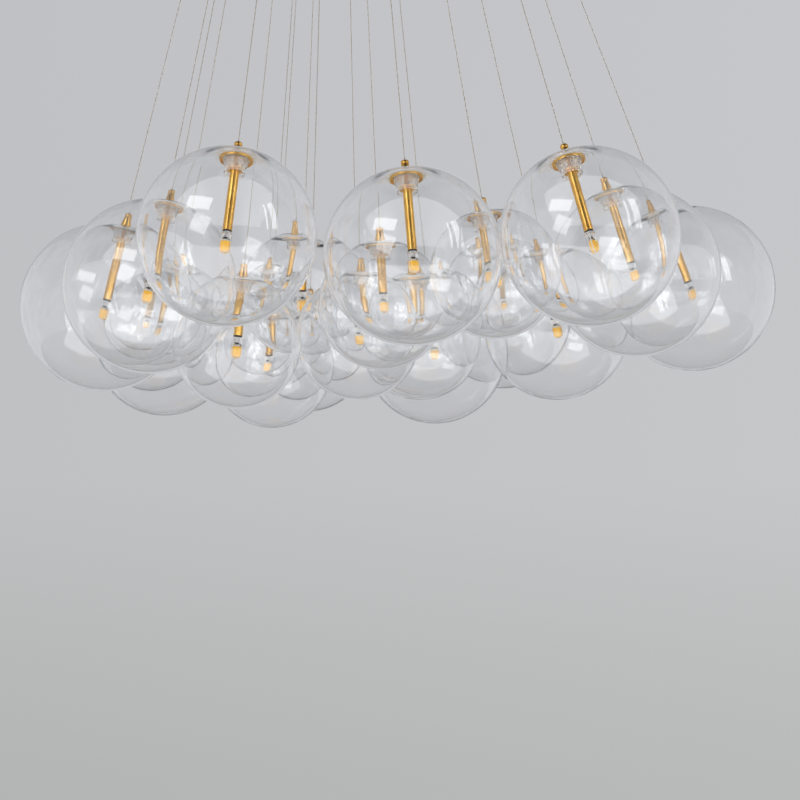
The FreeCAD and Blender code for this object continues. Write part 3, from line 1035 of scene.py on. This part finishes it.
def studio_world(s):
    """Even fill light. Cameras and glass see a grey backdrop that fades downwards, and metal and
    gloss see a room with a dark ceiling, a pale floor and a dark place in front of the lamp."""
    world = bpy.data.worlds.new("studio")
    bpy.context.scene.world = world
    world.use_nodes = True
    world.node_tree.nodes.clear()
    out = node(world, "ShaderNodeOutputWorld")
    rays = node(world, "ShaderNodeLightPath")
    where = node(world, "ShaderNodeTexCoord")
    split = node(world, "ShaderNodeSeparateXYZ")
    link(world, where.outputs["Generated"], split.inputs["Vector"])
    r, g, b = s.backdrop

    fade = [(place, (share * r, share * g, share * blue * b)) for place, share, blue in (
        (0.03, 0.846, 0.97), (0.20, 0.896, 0.97), (0.40, 0.984, 0.98), (0.86, 0.985, 1.0))]
    seen = node(world, "ShaderNodeBackground")
    upwards = spread(world, split.outputs["Z"], 0.0, 1.0, -0.09, 0.09)
    link(world, ramp(world, upwards, fade), seen.inputs["Color"])
    link(world, spread(world, split.outputs["X"], 0.98, 1.05, -0.09, 0.09),
         seen.inputs["Strength"])

    aside = node(world, "ShaderNodeMath", operation="ABSOLUTE")
    link(world, split.outputs["X"], aside.inputs[0])
    walls = spread(world, aside.outputs["Value"], 0.04, 0.72, 0.26, 0.44)
    behind = spread(world, split.outputs["Y"], 0.0, 0.58, -0.15, 0.30)
    ground = spread(world, split.outputs["Z"], 0.85, 0.0, -0.60, -0.15)
    level = brighter(world, brighter(world, walls, behind), ground)
    heights = [(place, (share,) * 3) for place, share in ((0.50, 1.0), (0.68, 0.80), (0.95, 0.45))]
    ceiling = node(world, "ShaderNodeMath", operation="MULTIPLY")
    link(world, level, ceiling.inputs[0])
    link(world, ramp(world, spread(world, split.outputs["Z"], 0.0, 1.0, -1.0, 1.0), heights),
         ceiling.inputs[1])
    mirrored = node(world, "ShaderNodeBackground", Color=(r / g, 1.0, b / g, 1.0))
    link(world, ceiling.outputs["Value"], mirrored.inputs["Strength"])

    even = node(world, "ShaderNodeBackground", Color=(1.0, 1.0, 1.0, 1.0), Strength=s.fill)
    direct = brighter(world, rays.outputs["Is Camera Ray"], rays.outputs["Is Transmission Ray"])
    first = node(world, "ShaderNodeMixShader")
    link(world, direct, first.inputs["Fac"])
    link(world, even.outputs["Background"], first.inputs[1])
    link(world, seen.outputs["Background"], first.inputs[2])
    second = node(world, "ShaderNodeMixShader")
    link(world, rays.outputs["Is Glossy Ray"], second.inputs["Fac"])
    link(world, first.outputs["Shader"], second.inputs[1])
    link(world, mirrored.outputs["Background"], second.inputs[2])
    link(world, second.outputs["Shader"], out.inputs["Surface"])


def studio_floor(s):
    """A round pale floor well below the lamp, out of the camera's frame."""
    deselect()
    bpy.ops.mesh.primitive_circle_add(vertices=96, radius=FLOOR_R, fill_type="NGON",
                                      enter_editmode=True)
    bpy.ops.mesh.inset(thickness=0.35, depth=-0.02)
    bpy.ops.object.mode_set(mode="OBJECT")
    floor = added("studio_floor")
    floor.data.transform(Matrix.Translation((LAMP_MIDDLE[0], 0.0, FLOOR_Z)))
    mat, shader, _ = new_material("floor_paper")
    cloud = noise(mat, object_vector(mat), 2.0, 3.0)
    link(mat, ramp(mat, cloud, [(0.3, s.floor), (0.7, [0.97 * c for c in s.floor])]),
         shader.inputs["Base Color"])
    shader.inputs["Roughness"].default_value = 0.9
    dress(floor, mat)


class PENDANT_OT_stage(bpy.types.Operator):
    """Set up the floor, the grey surroundings, the softboxes and the camera"""
    bl_idname = "pendant.stage"
    bl_label = "Stage"

    def execute(self, context):
        s = context.scene.pendant_stage
        scene = context.scene
        scene.view_settings.view_transform = "Standard"
        scene.cycles.max_bounces = 48
        scene.cycles.transmission_bounces = 48
        scene.cycles.transparent_max_bounces = 64
        scene.cycles.glossy_bounces = 6
        studio_world(s)
        studio_floor(s)
        aim = LAMP_MIDDLE
        softbox("upper_softbox", (-1.44, -2.05, 0.92), aim, 1.40, 0.72, s.softbox)
        softbox("lower_softbox", (-1.46, -2.62, -0.12), aim, 1.0, 1.0, s.softbox * 0.85,
                roll=-20)
        softbox("right_strip", (1.90, -1.36, 0.10), aim, 0.34, 1.15, s.softbox)
        strip_lamp("thin_strip", (1.70, -1.72, 0.10), aim, 0.10, 1.15, s.softbox * 0.9)
        softbox("floor_bounce", (0.08, -0.6, -1.90), (0.08, 0.0, -0.8), 3.2, 3.2, 2.0,
                diffuse=False)
        camera_data = bpy.data.cameras.new("camera")
        camera_data.sensor_width = 36.0
        camera_data.lens = s.lens
        camera_data.clip_end = 60.0
        camera = bpy.data.objects.new("camera", camera_data)
        scene.collection.objects.link(camera)
        camera.location = (CAMERA_X, -s.distance, CAMERA_Z)
        camera.rotation_euler = (math.radians(90), 0, 0)
        scene.camera = camera
        return {"FINISHED"}


class PENDANT_PT_parts(bpy.types.Panel):
    bl_label = "Cluster pendant"
    bl_idname = "PENDANT_PT_parts"
    bl_space_type = "VIEW_3D"
    bl_region_type = "UI"
    bl_category = "Pendant"

    def draw(self, context):
        for operator in OPERATORS:
            self.layout.operator(operator.bl_idname)
        for name in SETTINGS:
            group = getattr(context.scene, name)
            box = self.layout.box()
            for key in group.bl_rna.properties.keys():
                if key not in ("rna_type", "name"):
                    box.prop(group, key)


OPERATORS = (
    PENDANT_OT_globes, PENDANT_OT_cables, PENDANT_OT_caps, PENDANT_OT_mouths,
    PENDANT_OT_collars, PENDANT_OT_tubes, PENDANT_OT_bulbs, PENDANT_OT_canopy,
    PENDANT_OT_stage,
)
SETTINGS = {
    "pendant_glass": GlassSettings,
    "pendant_brass": BrassSettings,
    "pendant_bulb": BulbSettings,
    "pendant_canopy": CanopySettings,
    "pendant_stage": StageSettings,
}


def register():
    for name, group in SETTINGS.items():
        bpy.utils.register_class(group)
        setattr(bpy.types.Scene, name, bpy.props.PointerProperty(type=group))
    for cls in OPERATORS + (PENDANT_PT_parts,):
        bpy.utils.register_class(cls)


def unregister():
    for cls in reversed(OPERATORS + (PENDANT_PT_parts,)):
        bpy.utils.unregister_class(cls)
    for name, group in reversed(list(SETTINGS.items())):
        delattr(bpy.types.Scene, name)
        bpy.utils.unregister_class(group)


def main():
    register()
    bpy.ops.pendant.globes()
    bpy.ops.pendant.cables()
    bpy.ops.pendant.caps()
    bpy.ops.pendant.mouths()
    bpy.ops.pendant.collars()
    bpy.ops.pendant.tubes()
    bpy.ops.pendant.bulbs()
    bpy.ops.pendant.canopy()
    bpy.ops.pendant.stage()


if __name__ == "__main__":
    main()
